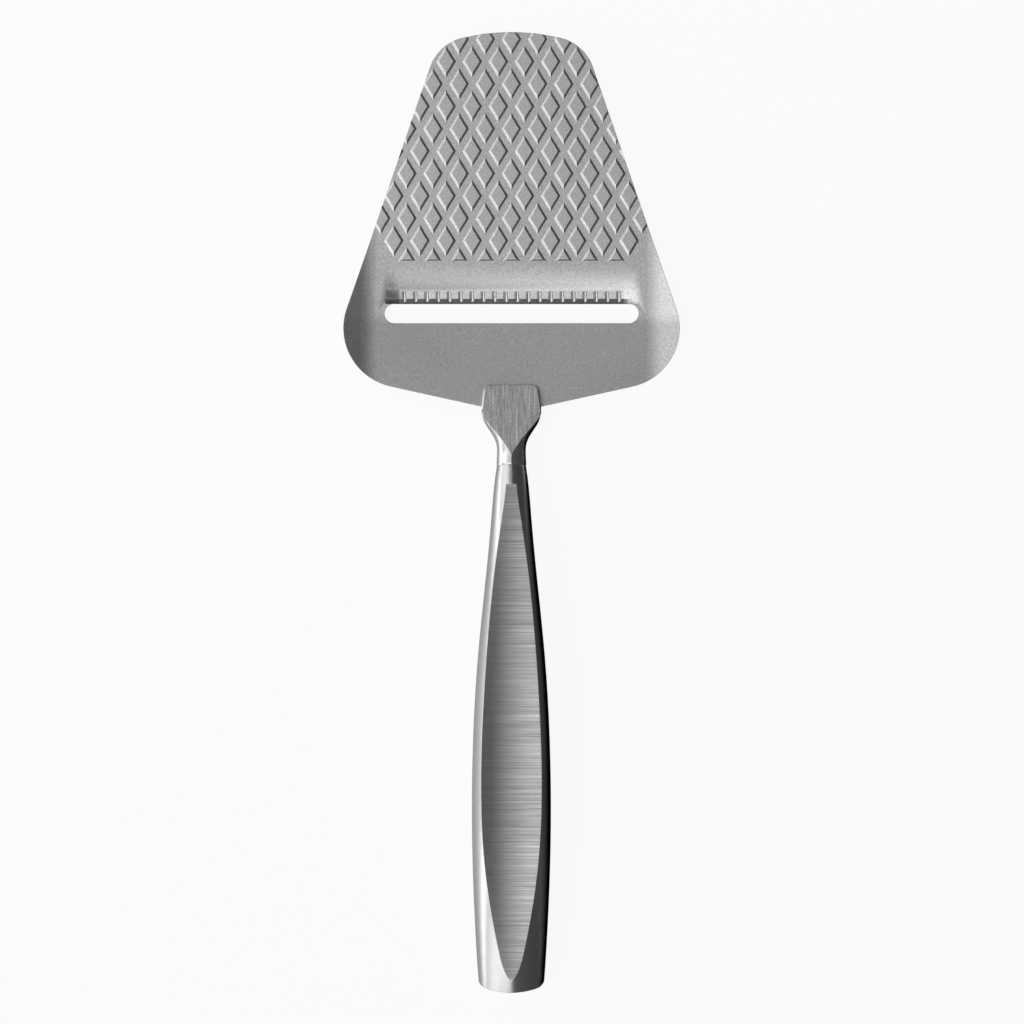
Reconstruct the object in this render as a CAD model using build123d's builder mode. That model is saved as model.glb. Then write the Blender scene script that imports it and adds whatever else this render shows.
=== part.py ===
from build123d import *
import math
import os

os.makedirs("parts", exist_ok=True)

# A one-hand cheese slicer of stainless steel, lying face up on a table.
# X runs across the blade, +Y towards its tip and +Z up.
# The origin is on the table, under the middle of the whole tool.
# All sizes are in millimetres and all angles in degrees.

overrun = 3.0  # how far a cutter runs past what it cuts

# Blade: one sheet, pressed and sheared
blade_tip_y = 122.6
blade_width = 86.0
blade_thickness = 1.2
tip_half_width = 19.0  # to the corner where the tip meets a side, before it is rounded
tip_crown = 3.5  # how far the middle of the tip stands in front of those corners
tip_corner_radius = 11.5
shoulder_radius = 15.3
shoulder_y = 46.8
heel_half_width = 7.6  # where the rear edges meet the bolster
heel_y = 26.7
tongue_half_width = 4.2
tongue_length = 6.5  # behind the heel, inside the bolster

# Both shoulders are turned up, and the sheet behind the slot rises towards the handle
wing_start_x = 34.5
wing_radius = 18.0
wing_angle = 15.0
rise_angle = 6.0
rise_radius = 30.0

# Cutting slot and the lip in front of it, which is pressed down below the sole
slot_width = 65.0
slot_front_y = 53.1
slot_rear_y = 48.1
lip_run = 9.9  # from the cutting edge forward to the start of the bend
lip_bend_radius = 28.0  # on the sole
lip_angle = 12.0
lip_half_width = 28.8
lip_end_half_width = 32.3  # where the lip has run out into the flat sheet
bevel_run = 1.3
edge_thickness = 0.2

# Notches in the lip, which break the slice's grip on the steel
notch_count = 20
notch_pitch = 2.89
notch_radius = 0.55
notch_depth = 0.6
notch_length = 3.1  # from the cutting edge forward

# Lattice of raised diamonds, pressed up from below
diamond_width = 4.96
diamond_length = 8.1
diamond_rise = 0.4
diamond_slope_width = 0.5
diamond_pitch = 6.69
diamond_row_step = 5.73
diamond_rows = 10  # full rows, from the tip down
last_row_count = 10
lattice_front_y = 120.8  # middle of the first row
half_diamond_count = 9
lattice_end_y = 64.0  # straight lower edge of the half diamonds

# Bolster: a solid neck, ground flat on top, lapped over the blade's tongue
bolster_front_y = 32.3
bolster_half_width = 7.6
bolster_front_half_width = 6.9
bolster_corner_radius = 1.9
bolster_step = 1.3  # the ground face above the blade, at its front edge
bolster_front_height = 6.3  # of its centre line, above the table
bolster_face_rise = 16.9  # slope of the face ground on top
bolster_underside_rise = 1.0  # angle of the flat ground on the underside
weld_gap = 0.05
spigot_radius = 2.35
spigot_length = 12.0
spigot_clearance = 0.05

# Handle: two pressed half shells, joined along both sides
seam_y = 11.5  # where the bolster ends and the handle begins
seam_height = 8.2  # of the centre line, above the table
butt_y = -122.6
butt_height = 5.2
handle_arch = 6.0  # how far the centre line bows up between its ends
neck_half_width = 3.72
neck_half_height = 3.4
handle_half_width = 10.05
handle_half_height = 10.8  # to the ridge that the facet takes away
handle_wall = 1.0
butt_radius = 23.0  # of the rounded end, seen from above
butt_corner_radius = 3.0
butt_half_width = 8.35
butt_side_angle = 4.1
flank_angle = 60.0  # half the arc of each flank's ellipse: 90 would be a plain ellipse
facet_half_width = 7.65
facet_radius = 32.0  # of the hollow that the grinding wheel leaves across the handle
facet_start_half_width = 1.15

# Where the handle's sections stand along its centre line, and how far each has grown
# from the neck's half width and half height to the handle's largest ones
handle_station_shares = (0.0, 0.10, 0.22, 0.33, 0.45, 0.56, 0.68, 0.79, 0.90, 1.0)
handle_width_shares = (0.0, 0.22, 0.46, 0.70, 0.89, 0.98, 1.0, 0.95, 0.845, 0.70)
handle_height_shares = (0.0, 0.21, 0.50, 0.75, 0.925, 1.0, 0.957, 0.75, 0.49, 0.24)

# The facet's half width at the handle's sections, from the second to the last but one
facet_width_shares = (0.31, 0.60, 0.785, 0.925, 1.0, 0.975, 0.80, 0.465)
facet_start_share = 0.038
facet_end_share = 0.955
cavity_start_share = 0.085

# The bolster's sections, from the seam forward, grown the same way
bolster_station_shares = (0, 0.14, 0.28, 0.42, 0.56, 0.70, 0.85, 1.0)
bolster_width_shares = (0, -0.015, 0.115, 0.63, 1.03, 1.03, 1.0, 1.0)
bolster_height_shares = (1.0, 1.0, 1.18, 1.45, 1.80, 2.5, 3.2, 3.6)

# Sizes that follow from those above
flank_cosine = math.cos(math.radians(flank_angle))
flank_sine = math.sin(math.radians(flank_angle))
arc_pull = 4 / 3 * math.tan(math.radians(flank_angle) / 2)  # makes a cubic curve follow the flank's ellipse
lip_bend_run = lip_bend_radius * math.sin(math.radians(lip_angle))
lip_bend_drop = lip_bend_radius * (1 - math.cos(math.radians(lip_angle)))
lip_slope = math.tan(math.radians(lip_angle))
lip_drop = lip_bend_drop + (lip_run - lip_bend_run) * lip_slope
sole_z = lip_drop  # the lip's edge is what touches the table
top_z = sole_z + blade_thickness
slot_y = (slot_front_y + slot_rear_y) / 2
blade_box = 2 * blade_width  # larger than the blade, for cutters


def grown(start, end, share):
    """A size part of the way from one value to another."""
    return start + (end - start) * share


def tangent_angle(point, centre, radius, side):
    """Angle at which a line from a point touches a circle, on its left (+1) or right (-1)."""
    across = math.hypot(point[0] - centre[0], point[1] - centre[1])
    towards = math.atan2(point[1] - centre[1], point[0] - centre[0])
    return towards + side * math.acos(radius / across)


def on_circle(centre, radius, angle):
    return (centre[0] + radius * math.cos(angle), centre[1] + radius * math.sin(angle))


def blade_outline(gap):
    """Half of the blade's outline seen from above, mirrored, with its tongue wider by a gap."""
    centre = (blade_width / 2 - shoulder_radius, shoulder_y)
    corner = (tip_half_width, blade_tip_y - tip_crown)
    heel = (heel_half_width, heel_y)
    side_touch = on_circle(centre, shoulder_radius, tangent_angle(corner, centre, shoulder_radius, -1))
    rear_touch = on_circle(centre, shoulder_radius, tangent_angle(heel, centre, shoulder_radius, 1))
    tongue_x = tongue_half_width + gap
    tongue_y = heel_y - tongue_length - gap
    with BuildLine() as outline:
        ThreePointArc((-corner[0], corner[1]), (0, blade_tip_y), corner)
        Line(corner, side_touch)
        ThreePointArc(side_touch, (blade_width / 2, shoulder_y), rear_touch)
        Polyline(rear_touch, heel, (tongue_x, heel_y), (tongue_x, tongue_y), (0, tongue_y))
        mirror(outline.line.edges()[1:], about=Plane.YZ)
    return outline.line


def lens(half_width, half_height):
    """Section of the neck and the handle: two curved flanks that meet in a soft ridge above and below."""
    reach_x = half_width / (1 - flank_cosine)
    reach_y = half_height / flank_sine
    pull_x = arc_pull * flank_sine * reach_x
    pull_y = arc_pull * flank_cosine * reach_y
    with BuildLine() as outline:
        Bezier(
            (0, half_height),
            (pull_x, half_height - pull_y),
            (pull_x, pull_y - half_height),
            (0, -half_height),
        )
        mirror(about=Plane.YZ)
    return outline.line


def flank_height(x, half_width, half_height):
    """How high the lens section stands above its middle, at a distance from the centre."""
    along = (x / half_width) * (1 - flank_cosine) + flank_cosine
    return half_height / flank_sine * math.sqrt(1 - along**2)


def section_plane(spine, share):
    """A plane square to a centre line, with X across the tool and Y up."""
    along = spine % share
    return Plane(origin=spine @ share, x_dir=Axis.Z.direction.cross(along), z_dir=along)


# Centre line of the handle, from the seam to the butt, and of the bolster, from the seam forward
seam = (seam_y, seam_height)
butt = (butt_y, butt_height)
arch_top = ((seam_y + butt_y) / 2, (seam_height + butt_height) / 2 + handle_arch)
with BuildLine(Plane.YZ) as handle_spine:
    ThreePointArc(seam, arch_top, butt)
spine = handle_spine.line.edge()
seam_slope = spine % 0
with BuildLine(Plane.YZ) as bolster_spine:
    TangentArc(
        seam,
        (bolster_front_y + overrun, bolster_front_height),
        tangent=(-seam_slope.Y, -seam_slope.Z),
    )
neck_spine = bolster_spine.line.edge()
seam_plane = section_plane(spine, 0)

# Planes and places that the pieces share
blade_rise = math.tan(math.radians(rise_angle))
bend_end_z = top_z + (rise_radius - blade_thickness) * (1 - math.cos(math.radians(rise_angle)))
bend_end_y = slot_y - (rise_radius - blade_thickness) * math.sin(math.radians(rise_angle))
rear_top_plane = Plane(
    origin=(0, bend_end_y, bend_end_z),
    x_dir=(1, 0, 0),
    z_dir=(0, math.sin(math.radians(rise_angle)), math.cos(math.radians(rise_angle))),
)


def rear_top_z(y):
    """Height of the blade's upper face behind the slot, where it rises towards the handle."""
    return bend_end_z + (bend_end_y - y) * blade_rise


diamond_taper = math.degrees(math.atan(diamond_slope_width / diamond_rise))

# The notches are cut by round cutters laid along the lip's slope
lip_down = (0, -math.cos(math.radians(lip_angle)), -math.sin(math.radians(lip_angle)))
lip_up = (0, -math.sin(math.radians(lip_angle)), math.cos(math.radians(lip_angle)))
notch_start_y = slot_front_y + notch_length
lip_top_at_notch = blade_thickness / math.cos(math.radians(lip_angle)) + notch_length * lip_slope
notch_lift = notch_radius - notch_depth
notch_plane = Plane(
    origin=(0, notch_start_y + notch_lift * lip_up[1], lip_top_at_notch + notch_lift * lip_up[2]),
    x_dir=(1, 0, 0),
    z_dir=lip_down,
)


def diamond(across, along):
    """A diamond's four points round the middle of the sketch."""
    return ((-across / 2, 0), (0, -along / 2), (across / 2, 0), (0, along / 2))


def row_middles(row):
    """Where a row's diamonds stand: odd rows are shifted by half a pitch, and only the last is cut short."""
    y = lattice_front_y - row * diamond_row_step
    shift = row % 2 / 2
    reach = math.ceil(blade_width / 2 / diamond_pitch)
    middles = [(place + shift) * diamond_pitch for place in range(-reach, reach)]
    if row == diamond_rows - 1:
        middles = [x for x in middles if abs(x) < last_row_count * diamond_pitch / 2]
    return [(x, y) for x in middles]


def lattice_faces():
    """All diamonds of the lattice, and the half diamonds that end it."""
    last_y = lattice_front_y - diamond_rows * diamond_row_step
    with BuildSketch() as faces:
        for row in range(diamond_rows):
            with Locations(row_middles(row)):
                Polygon(*diamond(diamond_width, diamond_length), align=None)
        with Locations((0, last_y)):
            with GridLocations(diamond_pitch, diamond_pitch, half_diamond_count, 1):
                Polygon(*diamond(diamond_width, diamond_length), align=None)
        with Locations((0, lattice_end_y - diamond_length)):
            Rectangle(blade_width, 2 * diamond_length, mode=Mode.SUBTRACT)
    return faces.sketch


# The lip's upper and lower face, from the start of the bend to the cutting edge
bend_y = slot_front_y + lip_run
bevel_y = slot_front_y + bevel_run
top_bend_run = lip_bend_run + blade_thickness * math.sin(math.radians(lip_angle))
top_bend_z = top_z - top_bend_run * math.tan(math.radians(lip_angle / 2))
lip_top = (
    (bend_y, top_z),
    (bend_y - top_bend_run, top_bend_z),
    (bevel_y, top_bend_z - (bend_y - top_bend_run - bevel_y) * lip_slope),
    (slot_front_y, edge_thickness),
)
lip_sole = (
    (bend_y, sole_z),
    (bend_y - lip_bend_run, sole_z - lip_bend_drop),
    (bevel_y, bevel_run * lip_slope),
    (slot_front_y, 0),
)


def lip_stretch(number, pressed):
    """Section of the lip's bend, slope or bevel (0, 1 or 2), either pressed down or still flat."""
    top = lip_top[number : number + 2]
    sole = lip_sole[number : number + 2]
    if not pressed:
        top = [(y, top_z) for y, _ in top]
        sole = [(y, sole_z) for y, _ in sole]
    with BuildLine() as section:
        if number or not pressed:
            Polyline(top[0], top[1], sole[1], sole[0], close=True)
        else:
            JernArc(top[0], (-1, 0), lip_bend_radius + blade_thickness, arc_size=lip_angle)
            Line(top[1], sole[1])
            JernArc(sole[0], (-1, 0), lip_bend_radius, arc_size=lip_angle)
            Line(sole[0], top[0])
    return section.line


# Side view and plan of the bolster
face_front_z = rear_top_z(bolster_front_y) + bolster_step
face_slope = math.tan(math.radians(bolster_face_rise))
underside_z = rear_top_z(heel_y) - blade_thickness / math.cos(math.radians(rise_angle))
underside_slope = math.tan(math.radians(bolster_underside_rise))


def bolster_side_view():
    """Between the face ground on top and the flat ground on the underside, seen from the side."""
    front_y = bolster_front_y + overrun
    rear_y = seam_y - overrun
    with BuildLine() as outline:
        Polyline(
            (front_y, face_front_z - overrun * face_slope),
            (rear_y, face_front_z + (bolster_front_y - rear_y) * face_slope),
            (rear_y, underside_z + (heel_y - rear_y) * underside_slope),
            (front_y, underside_z - (front_y - heel_y) * underside_slope),
            close=True,
        )
    return outline.line


def bolster_plan():
    """The bolster's front end seen from above. Its sides run on past the neck, which is narrower."""
    with BuildLine() as outline:
        Polyline(
            (-bolster_half_width, seam_y - overrun),
            (-bolster_half_width, heel_y),
            (-bolster_front_half_width, bolster_front_y),
            (bolster_front_half_width, bolster_front_y),
            (bolster_half_width, heel_y),
            (bolster_half_width, seam_y - overrun),
            close=True,
        )
    return outline.line


# The handle's sections, and the floor of the hollow ground into it
handle_half_widths = [grown(neck_half_width, handle_half_width, share) for share in handle_width_shares]
handle_half_heights = [grown(neck_half_height, handle_half_height, share) for share in handle_height_shares]
cavity_plane = section_plane(spine, cavity_start_share)
cavity_depth = spine.length * cavity_start_share + overrun


def facet_floor(half_width, half_height, facet_half):
    """Height of the hollow's floor above the centre line, where its edges are so far apart."""
    return flank_height(facet_half, half_width, half_height) - facet_half**2 / (2 * facet_radius)


def facet_stations():
    """Places and floor heights of the hollow along the handle, with its blunt start and its fading end."""
    opening = facet_start_share / handle_station_shares[1]
    start_width = grown(handle_half_widths[0], handle_half_widths[1], opening)
    start_height = grown(handle_half_heights[0], handle_half_heights[1], opening)
    stations = [(facet_start_share, facet_floor(start_width, start_height, facet_start_half_width))]
    sizes = zip(handle_half_widths[1:-1], handle_half_heights[1:-1], facet_width_shares)
    for station, (half_width, half_height, share) in zip(handle_station_shares[1:-1], sizes):
        stations.append((station, facet_floor(half_width, half_height, share * facet_half_width)))
    last_station, last_floor = stations[-1]
    fade = (facet_end_share - last_station) / (1 - last_station)
    end_floor = grown(handle_half_heights[-2], handle_half_heights[-1], fade)
    stations.append((1, last_floor + (end_floor - last_floor) / fade))
    return stations


def wheel_section(floor, side):
    """What the grinding wheel takes away at one section: all above (+1) or below (-1) a shallow curve."""
    reach = handle_half_width + overrun
    edge = floor + reach**2 / (2 * facet_radius)
    roof = handle_half_height + overrun
    with BuildLine() as outline:
        Bezier((-reach, side * edge), (0, side * (2 * floor - edge)), (reach, side * edge))
        Polyline((reach, side * edge), (reach, side * roof), (-reach, side * roof), (-reach, side * edge))
    return outline.line


def ground_hollow(depth, side):
    """The cutter for the facet on one side, sunk by a depth."""
    with BuildPart() as wheel:
        for station, floor in facet_stations():
            with BuildSketch(section_plane(spine, station)):
                make_face(wheel_section(floor - depth, side))
        loft()
    return wheel.part


def butt_sides(wall):
    """Just outside the handle's sides near its butt, seen from above."""
    rear_half_width = butt_half_width - wall
    front_half_width = rear_half_width + 2 * butt_radius * math.tan(math.radians(butt_side_angle))
    with BuildLine() as outline:
        Polyline(
            (-rear_half_width, butt_y),
            (rear_half_width, butt_y),
            (front_half_width, butt_y + 2 * butt_radius),
            (-front_half_width, butt_y + 2 * butt_radius),
            close=True,
        )
    return outline.line


def handle_body(wall):
    """The handle's outer form, or the hollow inside it when a wall is given."""
    with BuildPart() as body:
        sizes = zip(handle_half_widths, handle_half_heights)
        for station, (half_width, half_height) in zip(handle_station_shares, sizes):
            with BuildSketch(section_plane(spine, station)):
                make_face(lens(half_width - wall, half_height - wall))
        loft()
        for side in (1, -1):
            add(ground_hollow(wall, side), mode=Mode.SUBTRACT)
        with BuildSketch(Plane.XY) as plan:
            with Locations((0, butt_y + butt_radius)):
                Circle(butt_radius - wall)
            make_face(butt_sides(wall), mode=Mode.INTERSECT)
            fillet(plan.vertices().sort_by(Axis.Y)[:2], butt_corner_radius - wall)
            with Locations((0, butt_y + butt_radius)):
                Rectangle(2 * butt_radius, 2 * blade_tip_y, align=(Align.CENTER, Align.MIN))
        extrude(amount=blade_box, both=True, mode=Mode.INTERSECT)
    return body.part


def below_spine():
    """All that lies below the handle's centre line, seen from the side."""
    front = spine @ 0 - (spine % 0) * overrun
    rear = spine @ 1 + (spine % 1) * overrun
    with BuildLine() as outline:
        Line((front.Y, front.Z), seam)
        ThreePointArc(seam, arch_top, butt)
        Polyline(butt, (rear.Y, rear.Z), (rear.Y, -blade_width), (front.Y, -blade_width), (front.Y, front.Z))
    return outline.line


# Cutting lip: a pressed bend, slope and ground bevel with their notches, and at each end a fold back to the
# flat sheet
with BuildPart() as lip_fold:
    for stretch in range(len(lip_top) - 1):
        with BuildSketch(Plane.YZ.offset(lip_half_width)):
            make_face(lip_stretch(stretch, True))
        with BuildSketch(Plane.YZ.offset(lip_end_half_width)):
            make_face(lip_stretch(stretch, False))
        loft(ruled=True)

with BuildPart() as lip:
    for stretch in range(len(lip_top) - 1):
        with BuildSketch(Plane.YZ):
            make_face(lip_stretch(stretch, True))
        extrude(amount=lip_half_width, both=True)
    with BuildSketch(notch_plane):
        with GridLocations(notch_pitch, notch_pitch, notch_count, 1):
            Circle(notch_radius)
    extrude(amount=notch_length + overrun, mode=Mode.SUBTRACT)
    add(lip_fold.part)
    mirror(lip_fold.part, about=Plane.YZ)

# Blade. The sheet is swept along its side profile: flat at the front, then rising behind the slot
with BuildPart() as blade:
    with BuildSketch(Plane.XZ.offset(-(blade_tip_y + overrun))):
        with BuildLine():
            flat = Line((0, sole_z), (wing_start_x, sole_z))
            turn = JernArc(flat @ 1, tangent=(1, 0), radius=wing_radius, arc_size=wing_angle)
            PolarLine(turn @ 1, wing_start_x, angle=wing_angle)
            mirror(about=Plane.YZ)
            offset(amount=blade_thickness, side=Side.LEFT, kind=Kind.INTERSECTION)
        make_face()
    with BuildLine(Plane.YZ) as sheet_path:
        level = Line((blade_tip_y + overrun, sole_z), (slot_y, sole_z))
        bend = JernArc(level @ 1, tangent=(-1, 0), radius=rise_radius, arc_size=-rise_angle)
        PolarLine(bend @ 1, slot_y, direction=bend % 1)
    sweep(path=sheet_path.line)

    # Lattice: each diamond is pressed up from below, so the sole has a hollow under it
    with BuildSketch(Plane.XY.offset(top_z)):
        add(lattice_faces())
    extrude(amount=diamond_rise, taper=diamond_taper)
    with BuildSketch(Plane.XY.offset(sole_z)):
        add(lattice_faces())
    extrude(amount=diamond_rise, taper=diamond_taper, mode=Mode.SUBTRACT)

    # The lip takes the place of the flat sheet in front of the slot
    with BuildSketch(Plane.XY):
        with Locations((0, slot_front_y + lip_run / 2)):
            Rectangle(2 * lip_end_half_width, lip_run)
    extrude(amount=blade_box, both=True, mode=Mode.SUBTRACT)
    add(lip.part)

    # Outline, then the slot
    with BuildSketch(Plane.XY) as plan:
        add(blade_outline(0))
        make_face()
        fillet(plan.vertices().sort_by(Axis.Y)[-2:], tip_corner_radius)
    extrude(amount=blade_box, both=True, mode=Mode.INTERSECT)
    with BuildSketch(Plane.XY):
        with Locations((0, slot_y)):
            SlotOverall(slot_width, slot_front_y - slot_rear_y)
    extrude(amount=blade_box, both=True, mode=Mode.SUBTRACT)
blade.part.label = "blade"

# Bolster
with BuildPart() as blade_seat:
    with BuildSketch(Plane.XY):
        add(blade_outline(weld_gap))
        make_face()
    extrude(amount=blade_box)
    split(bisect_by=rear_top_plane, keep=Keep.BOTTOM)

with BuildPart() as bolster:
    for station, width, height in zip(bolster_station_shares, bolster_width_shares, bolster_height_shares):
        with BuildSketch(section_plane(neck_spine, station)):
            make_face(lens(grown(neck_half_width, bolster_half_width, width), neck_half_height * height))
    loft()
    with BuildSketch(Plane.YZ):
        make_face(bolster_side_view())
    extrude(amount=blade_width, both=True, mode=Mode.INTERSECT)
    with BuildSketch(Plane.XY) as front_view:
        make_face(bolster_plan())
        fillet(front_view.vertices().sort_by(Axis.Y)[-2:], bolster_corner_radius)
    extrude(amount=blade_box, mode=Mode.INTERSECT)
    add(blade_seat.part, mode=Mode.SUBTRACT)
    with BuildSketch(seam_plane):
        Circle(spigot_radius)
    extrude(amount=spigot_length)
bolster.part.label = "bolster"

# Handle: its solid form and its hollow, which the two shells share
with BuildPart() as handle_form:
    add(handle_body(0))
with BuildPart() as handle_hollow:
    add(handle_body(handle_wall))
    split(bisect_by=cavity_plane, keep=Keep.TOP)
    with BuildSketch(seam_plane):
        Circle(spigot_radius + spigot_clearance)
    extrude(amount=cavity_depth)
with BuildPart() as lower_block:
    with BuildSketch(Plane.YZ):
        make_face(below_spine())
    extrude(amount=blade_width, both=True)

with BuildPart() as handle_upper_shell:
    add(handle_form.part)
    add(handle_hollow.part, mode=Mode.SUBTRACT)
    add(lower_block.part, mode=Mode.SUBTRACT)
handle_upper_shell.part.label = "handle_upper_shell"

with BuildPart() as handle_lower_shell:
    add(handle_form.part)
    add(handle_hollow.part, mode=Mode.SUBTRACT)
    add(lower_block.part, mode=Mode.INTERSECT)
handle_lower_shell.part.label = "handle_lower_shell"

export_step(blade.part, "parts/blade.step")
export_step(bolster.part, "parts/bolster.step")
export_step(handle_upper_shell.part, "parts/handle_upper_shell.step")
export_step(handle_lower_shell.part, "parts/handle_lower_shell.step")
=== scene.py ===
# %% [markdown]
# # A cheese slicer of stainless steel
# The slicer is four pieces of one metal, and what tells them apart is how each was finished: a blasted blade, a
# bolster brushed along its length, polished handle flanks and a facet ground across the handle. The shapes come from
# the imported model, so this lesson is about light, smooth shading and four steel finishes.

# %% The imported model
import math

import bpy
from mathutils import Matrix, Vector

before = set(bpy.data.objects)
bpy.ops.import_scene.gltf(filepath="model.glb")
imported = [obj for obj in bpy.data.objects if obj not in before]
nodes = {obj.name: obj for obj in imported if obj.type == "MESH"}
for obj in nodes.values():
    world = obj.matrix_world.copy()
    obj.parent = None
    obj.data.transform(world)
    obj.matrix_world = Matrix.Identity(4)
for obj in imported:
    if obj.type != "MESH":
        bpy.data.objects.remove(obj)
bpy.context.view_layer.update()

MM = 0.001  # every size below is in metres, and most are small
blade = nodes["blade"]
bolster = nodes["bolster"]
upper_shell = nodes["handle_upper_shell"]
lower_shell = nodes["handle_lower_shell"]
print("pieces:", sorted(nodes))

# %% [markdown]
# ## Camera
# The tool lies on a table and is seen from straight above, with its tip at the top of the picture. A long lens far
# away keeps the two sides of the handle equally wide. The frame's width on the table sets the camera's height.

# %% Camera
FRAME_WIDTH = 261.9 * MM
LENS = 200.0
SENSOR = 36.0
VIEW_CENTRE = (0.15 * MM, -0.2 * MM)
VIEW_HEIGHT = 3.5 * MM  # the level at which the frame has that width

camera_data = bpy.data.cameras.new("camera")
camera_data.lens = LENS
camera_data.sensor_width = SENSOR
camera_data.clip_start = 0.01
camera = bpy.data.objects.new("camera", camera_data)
bpy.context.scene.collection.objects.link(camera)
camera.location = (*VIEW_CENTRE, VIEW_HEIGHT + FRAME_WIDTH * LENS / SENSOR)
bpy.context.scene.camera = camera
print("camera height", round(camera.location.z, 3))

# %% [markdown]
# ## Smooth shading for the polished pieces
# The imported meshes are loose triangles, which shade flat. Steel that is bent or polished needs one running surface,
# with an edge only where two faces really meet. A small Geometry Nodes tree merges the corners, shades everything
# smooth and then splits the shading along the edges that are sharper than an angle. Edges that lie wholly on the
# handle's middle ridge can stay smooth, because a buffed ridge is soft. The tree stays on the piece as a modifier, so
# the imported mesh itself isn't touched.

# %% Helpers for Geometry Nodes trees


def link_chain(tree, *sockets):
    """Links sockets in pairs: each output to the input after it."""
    for out_socket, in_socket in zip(sockets[::2], sockets[1::2]):
        tree.links.new(out_socket, in_socket)


def mesh_tree(name, *input_names):
    """A tree from mesh to mesh with named number inputs. Returns it, its two ends and the inputs' identifiers."""
    tree = bpy.data.node_groups.new(name, "GeometryNodeTree")
    tree.interface.new_socket("Mesh", in_out="INPUT", socket_type="NodeSocketGeometry")
    sockets = [
        tree.interface.new_socket(input_name, in_out="INPUT", socket_type="NodeSocketFloat")
        for input_name in input_names
    ]
    tree.interface.new_socket("Mesh", in_out="OUTPUT", socket_type="NodeSocketGeometry")
    ends = tree.nodes.new("NodeGroupInput"), tree.nodes.new("NodeGroupOutput")
    return tree, *ends, [socket.identifier for socket in sockets]


def operators(tree, kind, operation, count):
    """Several nodes of one kind that do the same operation."""
    made = [tree.nodes.new(kind) for _ in range(count)]
    for node in made:
        node.operation = operation
    return made


def put_tree(piece, tree, identifiers, values):
    """Puts a tree on a piece as a modifier and sets its inputs by their identifiers."""
    modifier = piece.modifiers.new(tree.name, "NODES")
    modifier.node_group = tree
    for identifier, value in zip(identifiers, values):
        modifier[identifier] = value


print("tree helpers ready")

# %% Smoothing tree


def smoothing_tree():
    """A tree that merges loose triangles and shades them smooth, but for sharp edges away from the middle ridge."""
    tree, group_in, group_out, identifiers = mesh_tree("smooth_steel", "Merge distance", "Edge angle", "Ridge width")
    weld = tree.nodes.new("GeometryNodeMergeByDistance")
    smooth = tree.nodes.new("GeometryNodeSetShadeSmooth")
    split = tree.nodes.new("GeometryNodeSetShadeSmooth")
    split.domain = "EDGE"
    split.inputs["Shade Smooth"].default_value = False
    angle = tree.nodes.new("GeometryNodeInputMeshEdgeAngle")
    ends = tree.nodes.new("GeometryNodeInputMeshEdgeVertices")
    first_end, second_end = (tree.nodes.new("ShaderNodeSeparateXYZ") for _ in range(2))
    first_away, second_away = operators(tree, "ShaderNodeMath", "ABSOLUTE", 2)
    [away] = operators(tree, "ShaderNodeMath", "ADD", 1)
    sharp, aside = operators(tree, "FunctionNodeCompare", "GREATER_THAN", 2)
    [both] = operators(tree, "FunctionNodeBooleanMath", "AND", 1)
    link_chain(
        tree,
        group_in.outputs["Mesh"], weld.inputs["Geometry"],
        group_in.outputs["Merge distance"], weld.inputs["Distance"],
        weld.outputs["Geometry"], smooth.inputs["Geometry"],
        smooth.outputs["Geometry"], split.inputs["Geometry"],
        angle.outputs["Unsigned Angle"], sharp.inputs["A"],
        group_in.outputs["Edge angle"], sharp.inputs["B"],
        ends.outputs["Position 1"], first_end.inputs["Vector"],
        ends.outputs["Position 2"], second_end.inputs["Vector"],
        first_end.outputs["X"], first_away.inputs[0],
        second_end.outputs["X"], second_away.inputs[0],
        first_away.outputs["Value"], away.inputs[0],
        second_away.outputs["Value"], away.inputs[1],
        away.outputs["Value"], aside.inputs["A"],
        group_in.outputs["Ridge width"], aside.inputs["B"],
        sharp.outputs["Result"], both.inputs[0],
        aside.outputs["Result"], both.inputs[1],
        both.outputs["Boolean"], split.inputs["Selection"],
        split.outputs["Geometry"], group_out.inputs["Mesh"],
    )
    return tree, identifiers


smooth_steel, smooth_inputs = smoothing_tree()
print("smoothing tree with", len(smooth_steel.nodes), "nodes")

# %% [markdown]
# ## A chamfer round the bolster's top
# The bolster's top is ground and then its sides are broken with a narrow chamfer, which catches the light on the left.
# A Bevel modifier cuts it. It could choose its edges by their angle, but then it would also cut the front edge, which
# lies tight on the blade, and the neck. So a tree first marks the edges: sharp ones, on the sloping top, between two
# places along the tool.

# %% Chamfer tree


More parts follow.
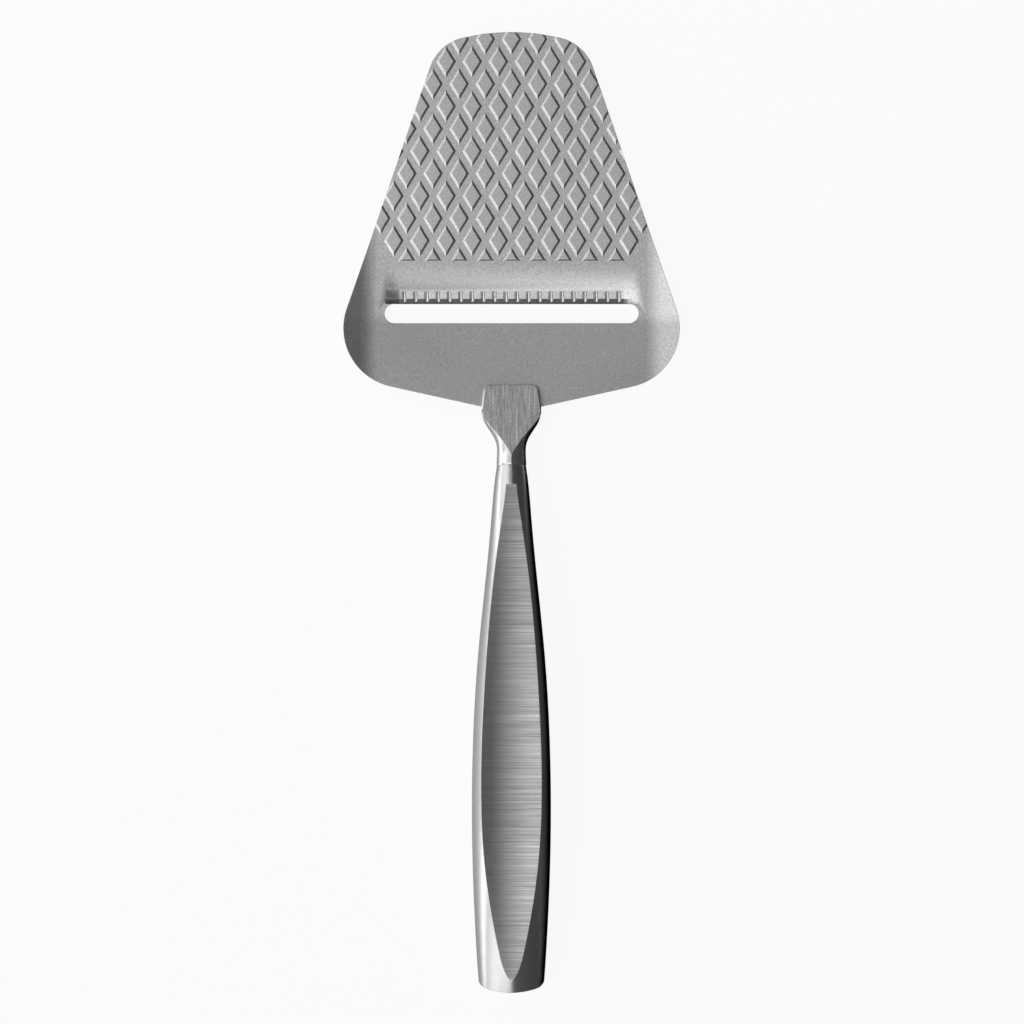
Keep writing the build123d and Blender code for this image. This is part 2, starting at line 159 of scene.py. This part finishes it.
def chamfer_tree():
    """A tree that gives a bevel weight to the sharp edges of the bolster's sloping top, between two places."""
    tree, group_in, group_out, identifiers = mesh_tree(
        "chamfered_edges", "Edge angle", "Slope", "Height", "Start", "End"
    )
    angle = tree.nodes.new("GeometryNodeInputMeshEdgeAngle")
    place = tree.nodes.new("GeometryNodeInputPosition")
    place_parts = tree.nodes.new("ShaderNodeSeparateXYZ")
    [level] = operators(tree, "ShaderNodeMath", "MULTIPLY_ADD", 1)
    sharp, high, forward, front = operators(tree, "FunctionNodeCompare", "GREATER_THAN", 4)
    on_top, on_sides, chosen = operators(tree, "FunctionNodeBooleanMath", "AND", 3)
    weight = tree.nodes.new("GeometryNodeStoreNamedAttribute")
    weight.domain = "EDGE"
    weight.inputs["Name"].default_value = "bevel_weight_edge"
    weight.inputs["Value"].default_value = 1.0
    link_chain(
        tree,
        place.outputs["Position"], place_parts.inputs["Vector"],
        place_parts.outputs["Y"], level.inputs[0],
        group_in.outputs["Slope"], level.inputs[1],
        place_parts.outputs["Z"], level.inputs[2],
        angle.outputs["Unsigned Angle"], sharp.inputs["A"],
        group_in.outputs["Edge angle"], sharp.inputs["B"],
        level.outputs["Value"], high.inputs["A"],
        group_in.outputs["Height"], high.inputs["B"],
        place_parts.outputs["Y"], forward.inputs["A"],
        group_in.outputs["Start"], forward.inputs["B"],
        group_in.outputs["End"], front.inputs["A"],
        place_parts.outputs["Y"], front.inputs["B"],
        sharp.outputs["Result"], on_top.inputs[0],
        high.outputs["Result"], on_top.inputs[1],
        forward.outputs["Result"], on_sides.inputs[0],
        front.outputs["Result"], on_sides.inputs[1],
        on_top.outputs["Boolean"], chosen.inputs[0],
        on_sides.outputs["Boolean"], chosen.inputs[1],
        group_in.outputs["Mesh"], weight.inputs["Geometry"],
        chosen.outputs["Boolean"], weight.inputs["Selection"],
        weight.outputs["Geometry"], group_out.inputs["Mesh"],
    )
    return tree, identifiers


FACE_SLOPE = math.tan(math.radians(16.9))  # of the bolster's top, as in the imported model
FACE_LEVEL = 15.4 * MM  # just under the top's height at Y = 0, if it ran on that far
CHAMFER_PLACES = (24.4 * MM, 32.2 * MM)  # along the tool: the sides and the rounded corners, not the front
CHAMFER_ANGLE = 0.7  # in radians
CHAMFER_WIDTH = 0.25 * MM
WELD_DISTANCE = 0.002 * MM

weld = bolster.modifiers.new("weld", "WELD")
weld.merge_threshold = WELD_DISTANCE
chamfered_edges, chamfer_inputs = chamfer_tree()
put_tree(bolster, chamfered_edges, chamfer_inputs, (CHAMFER_ANGLE, FACE_SLOPE, FACE_LEVEL, *CHAMFER_PLACES))
rounding = bolster.modifiers.new("rounding", "BEVEL")
rounding.width = CHAMFER_WIDTH
rounding.segments = 1
rounding.use_clamp_overlap = False
rounding.limit_method = "WEIGHT"
print("bolster modifiers:", [modifier.name for modifier in bolster.modifiers])

# %% [markdown]
# ## Smoothing on the four pieces
# Now each piece gets the smoothing tree, with the angle at which its own faces really meet. The blade and the bolster
# keep every sharp edge, and the two handle shells get the soft ridge.

# %% Smoothing on the pieces
SOFT_RIDGE = 0.05 * MM
NO_SOFT_RIDGE = -1.0

for piece, edge_angle, ridge_width in (
    (blade, 0.3, NO_SOFT_RIDGE),
    (bolster, 0.22, NO_SOFT_RIDGE),
    (upper_shell, 0.3, SOFT_RIDGE),
    (lower_shell, 0.3, SOFT_RIDGE),
):
    put_tree(piece, smooth_steel, smooth_inputs, (WELD_DISTANCE, edge_angle, ridge_width))
print("smooth shading on", [o.name for o in nodes.values() if o.modifiers])

# %% [markdown]
# ## Steel finishes
# All four finishes are one metal, so they share one builder: a metallic shader whose colour, roughness and bump come
# from fine noise. Stretching the noise along an axis turns grain into brush marks. Where a ground face and a polished
# flank are in one piece, the direction that the surface faces tells them apart. A Bevel node rounds the shading at
# every edge, because no edge of real steel is perfectly sharp.

# %% Building blocks of a finish
EDGE_SAMPLES = 8  # of the node that rounds the shading at edges


def math_node(tree, operation, first, second=None, third=None, clamp=False):
    """A Math node whose inputs are sockets or plain numbers."""
    node = tree.nodes.new("ShaderNodeMath")
    node.operation = operation
    node.use_clamp = clamp
    for socket, value in zip(node.inputs, (first, second, third)):
        if value is None:
            continue
        if isinstance(value, (int, float)):
            socket.default_value = value
        else:
            tree.links.new(value, socket)
    return node.outputs[0]


def object_axis(tree, axis):
    """The place along one of the piece's own axes, in metres."""
    coordinates = tree.nodes.new("ShaderNodeTexCoord")
    split = tree.nodes.new("ShaderNodeSeparateXYZ")
    tree.links.new(coordinates.outputs["Object"], split.inputs["Vector"])
    return split.outputs[axis]


def ranged(tree, value, low, high, new_low, new_high):
    """A value moved from one range to another, and kept in it."""
    node = tree.nodes.new("ShaderNodeMapRange")
    tree.links.new(value, node.inputs["Value"])
    for name, number in zip(("From Min", "From Max", "To Min", "To Max"), (low, high, new_low, new_high)):
        node.inputs[name].default_value = number
    return node.outputs["Result"]


def noise(tree, scale, detail=3.0, offset=(0, 0, 0)):
    """Fine noise on object coordinates. Scale is how many grains there are to a metre, along X, Y and Z."""
    coordinates = tree.nodes.new("ShaderNodeTexCoord")
    mapping = tree.nodes.new("ShaderNodeMapping")
    mapping.inputs["Scale"].default_value = scale
    mapping.inputs["Location"].default_value = offset
    texture = tree.nodes.new("ShaderNodeTexNoise")
    texture.inputs["Scale"].default_value = 1.0
    texture.inputs["Detail"].default_value = detail
    tree.links.new(coordinates.outputs["Object"], mapping.inputs["Vector"])
    tree.links.new(mapping.outputs["Vector"], texture.inputs["Vector"])
    return texture.outputs["Fac"]


def mixed(tree, share, first, second):
    """One of two values, or a blend of them, by a share from 0 to 1."""
    node = tree.nodes.new("ShaderNodeMix")
    for socket, value in zip(node.inputs[:1] + node.inputs[2:4], (share, first, second)):
        if isinstance(value, (int, float)):
            socket.default_value = value
        else:
            tree.links.new(value, socket)
    return node.outputs[0]


def steel(name, tone, tint, roughness, bump, bump_depth, edge_radius, spread=0.0):
    """A steel material. Tone, roughness and bump are functions that make a socket in its tree.

    Spread is how much more its marks scatter light along the tool than across it.
    """
    material = bpy.data.materials.new(name)
    material.use_nodes = True
    tree = material.node_tree
    shader = tree.nodes["Principled BSDF"]
    shader.inputs["Metallic"].default_value = 1.0
    grey = tone(tree)
    colour = tree.nodes.new("ShaderNodeCombineColor")
    for channel, share in zip(("Red", "Green", "Blue"), tint):
        tree.links.new(math_node(tree, "MULTIPLY", grey, share), colour.inputs[channel])
    tree.links.new(colour.outputs["Color"], shader.inputs["Base Color"])
    tree.links.new(roughness(tree), shader.inputs["Roughness"])
    relief = tree.nodes.new("ShaderNodeBump")
    relief.inputs["Distance"].default_value = bump_depth
    tree.links.new(bump(tree), relief.inputs["Height"])
    rounded = tree.nodes.new("ShaderNodeBevel")
    rounded.samples = EDGE_SAMPLES
    rounded.inputs["Radius"].default_value = edge_radius
    tree.links.new(rounded.outputs["Normal"], relief.inputs["Normal"])
    tree.links.new(relief.outputs["Normal"], shader.inputs["Normal"])
    if spread:
        along = tree.nodes.new("ShaderNodeCombineXYZ")
        along.inputs["Y"].default_value = 1.0
        shader.inputs["Anisotropic"].default_value = spread
        tree.links.new(along.outputs["Vector"], shader.inputs["Tangent"])
    return material


def facing(tree, x_limit, z_limit):
    """1 where a surface looks up or down and hardly sideways, which is where a facet is ground, and 0 elsewhere."""
    geometry = tree.nodes.new("ShaderNodeNewGeometry")
    split = tree.nodes.new("ShaderNodeSeparateXYZ")
    tree.links.new(geometry.outputs["True Normal"], split.inputs["Vector"])
    sideways = math_node(tree, "ABSOLUTE", split.outputs["X"])
    level = math_node(tree, "ABSOLUTE", split.outputs["Z"])
    narrow = math_node(tree, "LESS_THAN", sideways, x_limit)
    flat = math_node(tree, "GREATER_THAN", level, z_limit)
    return math_node(tree, "MULTIPLY", narrow, flat)


print("finish builders ready")

# %% [markdown]
# ## Blasted blade
# The sheet is pressed from satin steel and has an even, fine grain with hardly any direction. Two sizes of noise give
# it: grains of a third of a millimetre, and soft clouds of some centimetres. A little of it is bump, so the light
# breaks up on it as it does on the real sheet. Sheared and pressed edges are never knife sharp, so their shading is
# rounded by a fifth of a millimetre.

# %% Blade finish
STEEL_TINT = (1.0, 1.0, 0.995)
BLADE_TONE = 0.60


def blade_tone(tree):
    grain = ranged(tree, noise(tree, (3200, 2600, 3200)), 0.3, 0.7, 0.79, 1.21)
    cloud = ranged(tree, noise(tree, (45, 30, 45)), 0.3, 0.7, 0.98, 1.02)
    return math_node(tree, "MULTIPLY", math_node(tree, "MULTIPLY", grain, cloud), BLADE_TONE)


def blade_roughness(tree):
    return ranged(tree, noise(tree, (2400, 1500, 2400)), 0.3, 0.7, 0.33, 0.41)


def blade_grain(tree):
    return noise(tree, (3400, 2800, 3400))


blade_finish = steel("blasted_steel", blade_tone, STEEL_TINT, blade_roughness, blade_grain, 0.006 * MM, 0.2 * MM)
print("blade finish", blade_finish.name)

# %% [markdown]
# ## Brushed bolster
# The bolster's top is ground flat and brushed towards the blade, so its marks are long and run along the tool. Three
# noises make them: fine marks, the grain that breaks them up, and a few deep bright ones. Its flanks are polished.
# The flat top is the only face of it that looks up and not sideways.

# %% Bolster finish
BOLSTER_TONE = 0.66
TOP_LIMITS = (0.05, 0.9)  # how far the top may lean sideways, and how far it must look up


def bolster_tone(tree):
    fine = ranged(tree, noise(tree, (4200, 260, 50), 2.0), 0.35, 0.65, 0.78, 1.22)
    speck = ranged(tree, noise(tree, (4200, 3000, 50), 1.0, (1, 7, 0)), 0.35, 0.65, 0.84, 1.16)
    deep = ranged(tree, noise(tree, (2400, 90, 50), 1.0, (5, 2, 0)), 0.58, 0.68, 0.0, 0.6)
    mark = math_node(tree, "MULTIPLY", math_node(tree, "ADD", fine, deep), speck)
    ground = facing(tree, *TOP_LIMITS)
    return math_node(tree, "MULTIPLY", mixed(tree, ground, 1.05, mark), BOLSTER_TONE)


def bolster_roughness(tree):
    brushed = ranged(tree, noise(tree, (2200, 300, 50)), 0.3, 0.7, 0.40, 0.46)
    return mixed(tree, facing(tree, *TOP_LIMITS), 0.26, brushed)


def bolster_marks(tree):
    mark = noise(tree, (3400, 260, 50), 3.0)
    return mixed(tree, facing(tree, *TOP_LIMITS), 0.5, mark)


bolster_finish = steel(
    "brushed_bolster_steel", bolster_tone, STEEL_TINT, bolster_roughness, bolster_marks, 0.012 * MM, 0.25 * MM
)
print("bolster finish", bolster_finish.name)

# %% [markdown]
# ## Handle: polished flanks and a cross-brushed facet
# A grinding wheel that turns along the handle leaves a shallow hollow facet with marks straight across it. The flanks
# are polished along their length. On the facet the surface never leans sideways by more than 15 degrees, and on the
# flanks it always leans by more than 30, so the lean tells the two finishes apart. Behind the facet's end the butt is
# level too, so the ground finish also stops at that place. Marks that run across the handle scatter light along it,
# which is the spread given to the shader. The marks' contrast is painted light: it is painted stronger towards +X, on
# the side of the facet that the light catches.

# %% Handle finish
HANDLE_TONE = 0.62
FACET_TONE = 0.53
FACET_LIMITS = (0.25, 0.6)
FACET_END = -119.0 * MM
MARK_STRENGTH = 2.3
MARK_SPREAD = 0.85


def facet_share(tree):
    """1 on the facet and 0 on the flanks, also where they are level behind the facet's end."""
    before_end = math_node(tree, "GREATER_THAN", object_axis(tree, "Y"), FACET_END)
    return math_node(tree, "MULTIPLY", facing(tree, *FACET_LIMITS), before_end)


def handle_tone(tree):
    fine = noise(tree, (60, 6200, 40), 2.0)
    broad = noise(tree, (35, 1900, 30), 2.0, (3, 1, 4))
    both = math_node(tree, "ADD", math_node(tree, "MULTIPLY", fine, 0.72), math_node(tree, "MULTIPLY", broad, 0.28))
    centred = math_node(tree, "SUBTRACT", both, 0.5)
    # painted light: the marks' contrast grows towards +X, the side of the facet that the light catches
    painted_lit_side_share = ranged(tree, object_axis(tree, "X"), -4.0 * MM, 1.0 * MM, 0.35, 1.0)
    strength = math_node(tree, "MULTIPLY", centred, painted_lit_side_share)
    mark = math_node(tree, "MULTIPLY_ADD", strength, MARK_STRENGTH * FACET_TONE, FACET_TONE)
    return mixed(tree, facet_share(tree), HANDLE_TONE, mark)


def handle_roughness(tree):
    brushed = ranged(tree, noise(tree, (50, 2600, 50)), 0.3, 0.7, 0.42, 0.52)
    polished = ranged(tree, noise(tree, (1500, 60, 1500)), 0.3, 0.7, 0.32, 0.36)
    return mixed(tree, facet_share(tree), polished, brushed)


def handle_marks(tree):
    brushed = math_node(tree, "MULTIPLY", noise(tree, (40, 5600, 30), 4.0), 2.6)
    polished = math_node(tree, "MULTIPLY", noise(tree, (1300, 25, 1300)), 0.02)
    return mixed(tree, facet_share(tree), polished, brushed)


handle_finish = steel(
    "ground_handle_steel", handle_tone, STEEL_TINT, handle_roughness, handle_marks, 0.012 * MM, 0.25 * MM, MARK_SPREAD
)
print("handle finish", handle_finish.name)

# %% [markdown]
# ## Putting the finishes on
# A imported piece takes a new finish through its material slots, and its shape stays as it is. The two shells of the
# handle share one finish, since they are ground and polished together after they are joined.

# %% Finishes on the pieces
for piece, finish in (
    (blade, blade_finish),
    (bolster, bolster_finish),
    (upper_shell, handle_finish),
    (lower_shell, handle_finish),
):
    piece.data.materials.clear()
    piece.data.materials.append(finish)
print("finished", [o.name + ": " + o.data.materials[0].name for o in nodes.values()])

# %% [markdown]
# ## Studio light
# Polished steel shows its surroundings, so the surroundings are the picture. The world is a soft gradient: bright
# from the lower left, plain overhead and dark on the right. A picture of a studio could give it too, but a world made
# of one dot product with the key direction needs no file, and has no seams and little noise.

# %% World
KEY_DIRECTION = Vector((-0.50, -0.34, 0.80)).normalized()
# how bright the world is, by how far a direction turns towards the key
KEY_STOPS = (
    (-1.0, 0.03), (-0.4, 0.05), (0.2, 0.085), (0.6, 0.14), (0.7, 0.20), (0.8, 0.68), (0.87, 1.2), (0.95, 1.65),
)
WORLD_PEAK = 2.0

world = bpy.data.worlds.new("studio")
bpy.context.scene.world = world
world.use_nodes = True
sky = world.node_tree
background = sky.nodes["Background"]
direction = sky.nodes.new("ShaderNodeTexCoord")
towards_key = sky.nodes.new("ShaderNodeVectorMath")
towards_key.operation = "DOT_PRODUCT"
towards_key.inputs[1].default_value = KEY_DIRECTION
sky.links.new(direction.outputs["Generated"], towards_key.inputs[0])


def level_ramp(tree, value, stops, peak):
    """A grey level that runs smoothly through stops of (place from 0 to 1, level)."""
    ramp = tree.nodes.new("ShaderNodeValToRGB")
    ramp.color_ramp.interpolation = "EASE"
    while len(ramp.color_ramp.elements) < len(stops):
        ramp.color_ramp.elements.new(0.5)
    for stop, (place, level) in zip(ramp.color_ramp.elements, stops):
        stop.position = place
        stop.color = (level / peak,) * 3 + (1.0,)
    tree.links.new(value, ramp.inputs["Fac"])
    return ramp.outputs["Color"]


share = ranged(sky, towards_key.outputs["Value"], -1.0, 1.0, 0.0, 1.0)
levels = level_ramp(sky, share, [((turn + 1) / 2, level) for turn, level in KEY_STOPS], WORLD_PEAK)
sky.links.new(levels, background.inputs["Color"])
background.inputs["Strength"].default_value = WORLD_PEAK
print("world stops", len(KEY_STOPS))

# %% [markdown]
# ## Softboxes
# Four softboxes add what a gradient can't. A low strip on the left lights the handle's left flank, two more light the
# left slopes of the lattice, those towards the tip and those towards the handle, and a far one stands where the
# bolster's ground top reflects it.

# %% Softboxes


def softbox(name, level, size, place, target):
    """Adds a lit rectangle that faces a point. Level is how bright its face is, where 1 is white."""
    data = bpy.data.lights.new(name, "AREA")
    data.shape = "RECTANGLE"
    data.size, data.size_y = size
    data.energy = level * math.pi * size[0] * size[1]
    lamp = bpy.data.objects.new(name, data)
    bpy.context.scene.collection.objects.link(lamp)
    lamp.location = place
    lamp.rotation_euler = (Vector(target) - Vector(place)).to_track_quat("-Z", "Y").to_euler()
    print(name, round(data.energy, 2), "W")


softbox("left_strip", 2.0, (0.90, 0.18), (-0.80, -0.05, 0.105), (0, -0.05, 0.015))
softbox("rear_softbox", 1.35, (0.55, 0.45), (-0.58, 0.38, 0.27), (0, 0.09, 0))
softbox("front_softbox", 0.7, (0.5, 0.3), (-0.52, -0.50, 0.22), (0, 0.09, 0))
softbox("far_softbox", 0.75, (0.34, 0.26), (0, 0.59, 0.80), (0, 0.02, 0))

# %% [markdown]
# ## Cards
# The handle's flanks are so steep that they show the table beside them. A bright card on the left of the handle and a
# black one on the right give them the light and the dark side that polished steel has in a studio. Near the tool the
# left card is darker, which is painted shadow: the tool's own shadow on the table, which the glowing floor doesn't
# show in reflections. A second black one lies further out beside the neck, and a small black one under the slot is
# painted
# shade: it stands for the shade under the blade, so the white table stays out of the lip's ground edge. The cards
# stand in for the photographer's: only reflections see them, not the camera.

# %% Reflector and flag
CARD_LEVEL = 0.5 * MM  # above the table
CARD_REACH = 2.6
CARD_SPAN = 0.2  # how far from the middle a card's stops can lie
CARD_ENDS = (-0.40, 0.022)


def card(name, sides, ends, height, stops, peak):
    """A card flat on the table, between two sides and two ends. Its stops are (metres from the middle, level)."""
    mesh = bpy.data.meshes.new(name)
    outline = [(sides[0], ends[0]), (sides[1], ends[0]), (sides[1], ends[1]), (sides[0], ends[1])]
    mesh.from_pydata([(x, y, height) for x, y in outline], [], [(0, 1, 2, 3)])
    sheet = bpy.data.objects.new(name, mesh)
    bpy.context.scene.collection.objects.link(sheet)
    material = bpy.data.materials.new(name)
    material.use_nodes = True
    tree = material.node_tree
    emission = tree.nodes.new("ShaderNodeEmission")
    away = math_node(tree, "ABSOLUTE", object_axis(tree, "X"))
    share = ranged(tree, away, 0.0, CARD_SPAN, 0.0, 1.0)
    levels = level_ramp(tree, share, [(distance / CARD_SPAN, level) for distance, level in stops], peak)
    tree.links.new(levels, emission.inputs["Color"])
    emission.inputs["Strength"].default_value = peak
    tree.links.new(emission.outputs["Emission"], tree.nodes["Material Output"].inputs["Surface"])
    mesh.materials.append(material)
    sheet.visible_camera = False
    sheet.visible_diffuse = False
    sheet.visible_transmission = False
    sheet.visible_shadow = False
    print(name, "from", sides[0], "to", sides[1], "m")


# the left card: a bright reflector far out, and painted shadow near the tool, where the tool's own shadow lies on the
# table
REFLECTOR_AND_PAINTED_SHADOW_STOPS = ((0.006, 0.35), (0.020, 0.50), (0.034, 0.65), (0.080, 1.1), (0.13, 1.9), (0.2, 2.2))
FLAG_STOPS = ((0.0, 0.0), (0.022, 0.0), (0.05, 0.06), (0.2, 0.11))
# painted shade: a black card under the slot stands for the shade beneath the blade, which the glowing floor leaves out
# of reflections
PAINTED_SHADE_UNDER_SLOT_STOPS = ((0.0, 0.02), (0.1, 0.02))
PAINTED_SHADE_CARD_HEIGHT = 0.05 * MM
card("left_reflector_and_painted_shadow", (-CARD_REACH, -0.006), CARD_ENDS, CARD_LEVEL, REFLECTOR_AND_PAINTED_SHADOW_STOPS, 2.5)
card("right_flag", (0.004, CARD_REACH), CARD_ENDS, CARD_LEVEL, FLAG_STOPS, 1.0)
card("far_right_flag", (0.05, CARD_REACH), (CARD_ENDS[1], 0.8), CARD_LEVEL, FLAG_STOPS, 1.0)
card("painted_shade_under_slot", (-0.031, 0.031), (0.026, 0.058), PAINTED_SHADE_CARD_HEIGHT, PAINTED_SHADE_UNDER_SLOT_STOPS, 1.0)

# %% [markdown]
# ## Floor
# The floor is a plain pale sheet. Part of its white is a steady glow for what the camera or a reflection sees, so it
# reads as the white of a shop picture, and the rest takes light and keeps the tool's shadow.

# %% Floor
FLOOR_HALF = 2.5
FLOOR_GLOW = 0.92
PAPER_GREY = 0.9

floor_mesh = bpy.data.meshes.new("floor")
corners = [(-1, -1), (1, -1), (1, 1), (-1, 1)]
floor_mesh.from_pydata([(x * FLOOR_HALF, y * FLOOR_HALF, 0.0) for x, y in corners], [], [(0, 1, 2, 3)])
floor = bpy.data.objects.new("floor", floor_mesh)
bpy.context.scene.collection.objects.link(floor)
paper = bpy.data.materials.new("white_paper")
paper.use_nodes = True
paper_tree = paper.node_tree
lit = paper_tree.nodes["Principled BSDF"]
lit.inputs["Base Color"].default_value = (PAPER_GREY, PAPER_GREY, PAPER_GREY, 1.0)
lit.inputs["Roughness"].default_value = 0.9
lit.inputs["Specular IOR Level"].default_value = 0.0
glow = paper_tree.nodes.new("ShaderNodeEmission")
glow.inputs["Strength"].default_value = 1.0
path = paper_tree.nodes.new("ShaderNodeLightPath")
seen = math_node(paper_tree, "ADD", path.outputs["Is Camera Ray"], path.outputs["Is Glossy Ray"], clamp=True)
seen = math_node(paper_tree, "ADD", seen, path.outputs["Is Transmission Ray"], clamp=True)
either = paper_tree.nodes.new("ShaderNodeMixShader")
paper_tree.links.new(math_node(paper_tree, "MULTIPLY", seen, FLOOR_GLOW), either.inputs["Fac"])
paper_tree.links.new(lit.outputs["BSDF"], either.inputs[1])
paper_tree.links.new(glow.outputs["Emission"], either.inputs[2])
paper_tree.links.new(either.outputs["Shader"], paper_tree.nodes["Material Output"].inputs["Surface"])
floor_mesh.materials.append(paper)
print("floor", 2 * FLOOR_HALF, "m wide")

# %% [markdown]
# ## Colour view
# The picture uses the Standard view, so a colour comes out about as it is written.

# %% Colour view
bpy.context.scene.view_settings.view_transform = "Standard"
